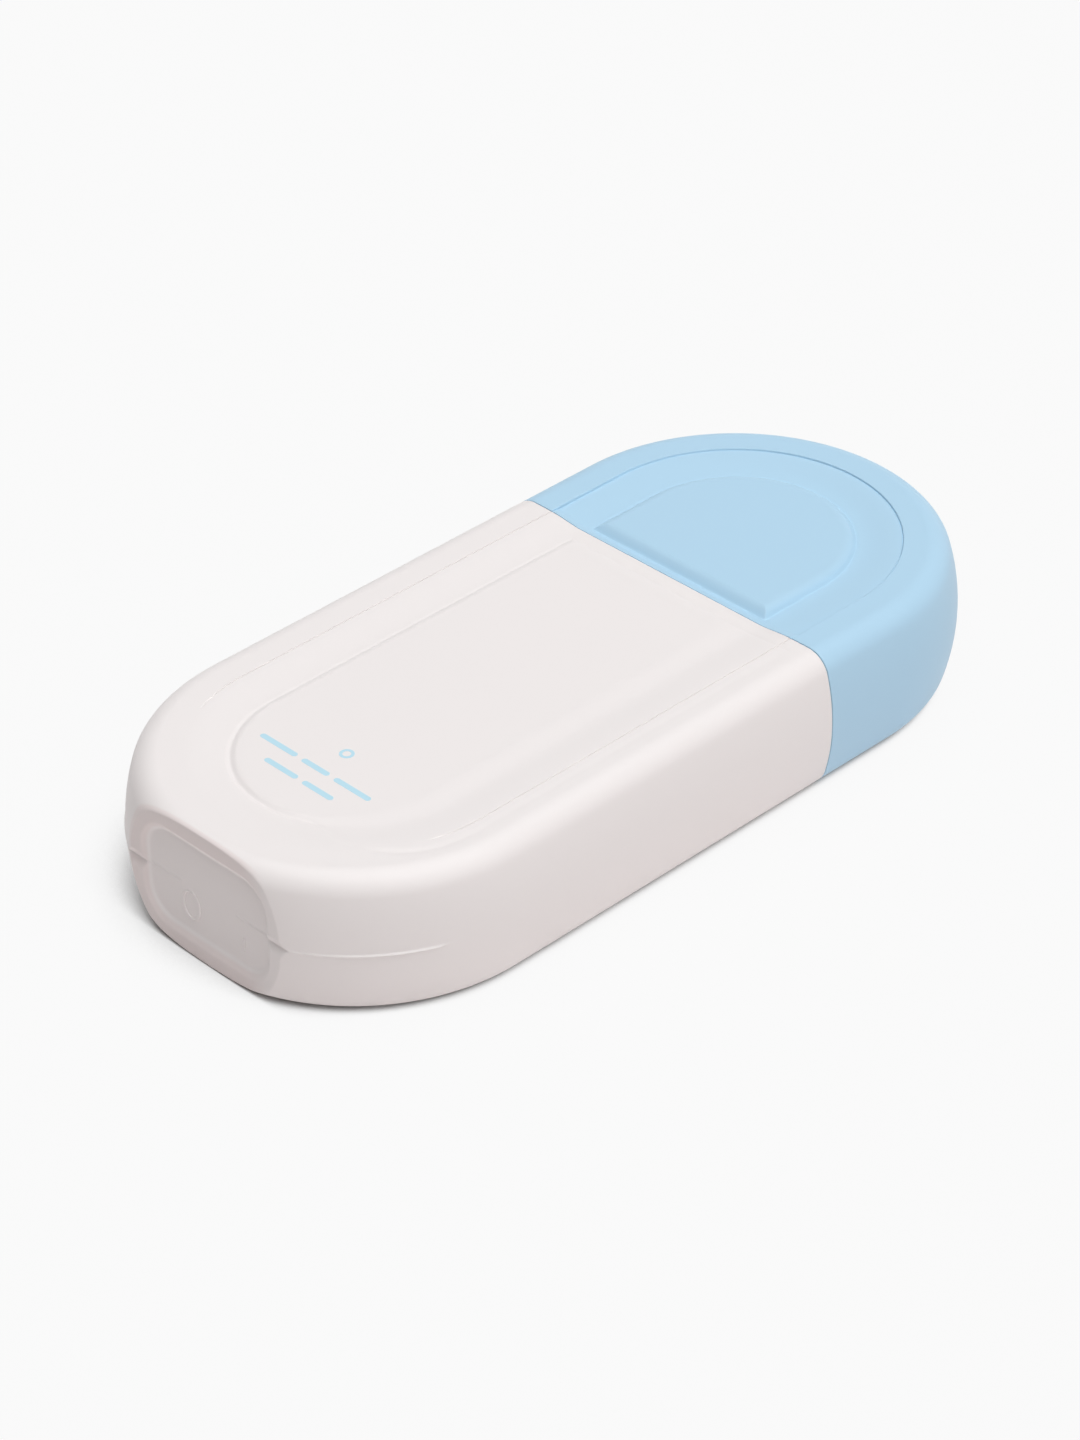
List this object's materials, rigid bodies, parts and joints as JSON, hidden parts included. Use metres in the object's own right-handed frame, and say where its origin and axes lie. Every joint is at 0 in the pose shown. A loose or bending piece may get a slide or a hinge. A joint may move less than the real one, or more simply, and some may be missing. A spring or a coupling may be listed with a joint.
{
  "type": "sunscreen bottle",
  "caption": "Flat squeeze bottle for lotion with round ends, sunk faces, a low label panel, a flat base and a pull-off cap over a round neck with a metering plug.",
  "frame": {"origin": "middle of the footprint, on the surface that the bottle lies on", "axes": "+X along the bottle from the base to the cap, +Y across it to the left seen from the base, +Z out of the front face"},
  "size_m": [0.1388, 0.066, 0.0228],
  "materials": {
    "bottle_plastic": "fine matt, soft to the touch",
    "plug_plastic": "waxy natural white",
    "cap_plastic": "fine matt, pale sky blue",
    "insert_plastic": "plain white, satin",
    "liner_foam": "fine closed foam"
  },
  "bodies": {
    "container": {"bottle": "bottle_plastic", "orifice_plug": "plug_plastic"},
    "cap": {"cap_shell": "cap_plastic", "cap_insert": "insert_plastic", "sealing_liner": "liner_foam"}
  },
  "joints": [
    {"name": "cap_pull", "type": "slide", "parent": "container", "child": "cap", "axis": [1, 0, 0], "range_m": [0, 0.04]}
  ]
}
